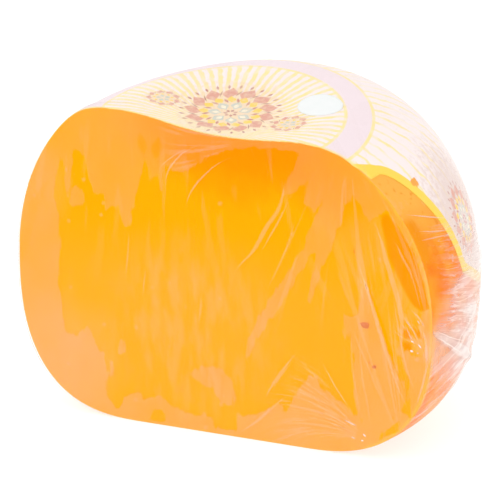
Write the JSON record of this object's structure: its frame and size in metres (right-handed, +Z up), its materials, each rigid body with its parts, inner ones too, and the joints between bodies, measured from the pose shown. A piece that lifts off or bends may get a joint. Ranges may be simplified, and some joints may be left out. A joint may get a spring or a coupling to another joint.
{
  "type": "wrapped cut piece of ball cheese",
  "caption": "Cut piece of a flattened ball of hard orange cheese, standing on its base, with a paper label over its top, wrapped tight in clear film",
  "frame": {"origin": "where the axis of the ball meets its flat base, on the table", "axes": "+Z up along the ball's axis; -Y is the way the cut face looks; +X runs along the cut face, towards the right when looking at it"},
  "size_m": [0.1982, 0.1258, 0.148],
  "materials": {
    "paste": "smooth fatty cut paste with a thin orange rind",
    "label_paper": "printed satin paper",
    "clear_film": "thin clear stretched film with creases",
    "sticker_paper": "smooth white paper"
  },
  "bodies": {
    "root": {"cheese": "paste", "label": "label_paper", "film": "clear_film", "sticker": "sticker_paper"}
  },
  "joints": []
}
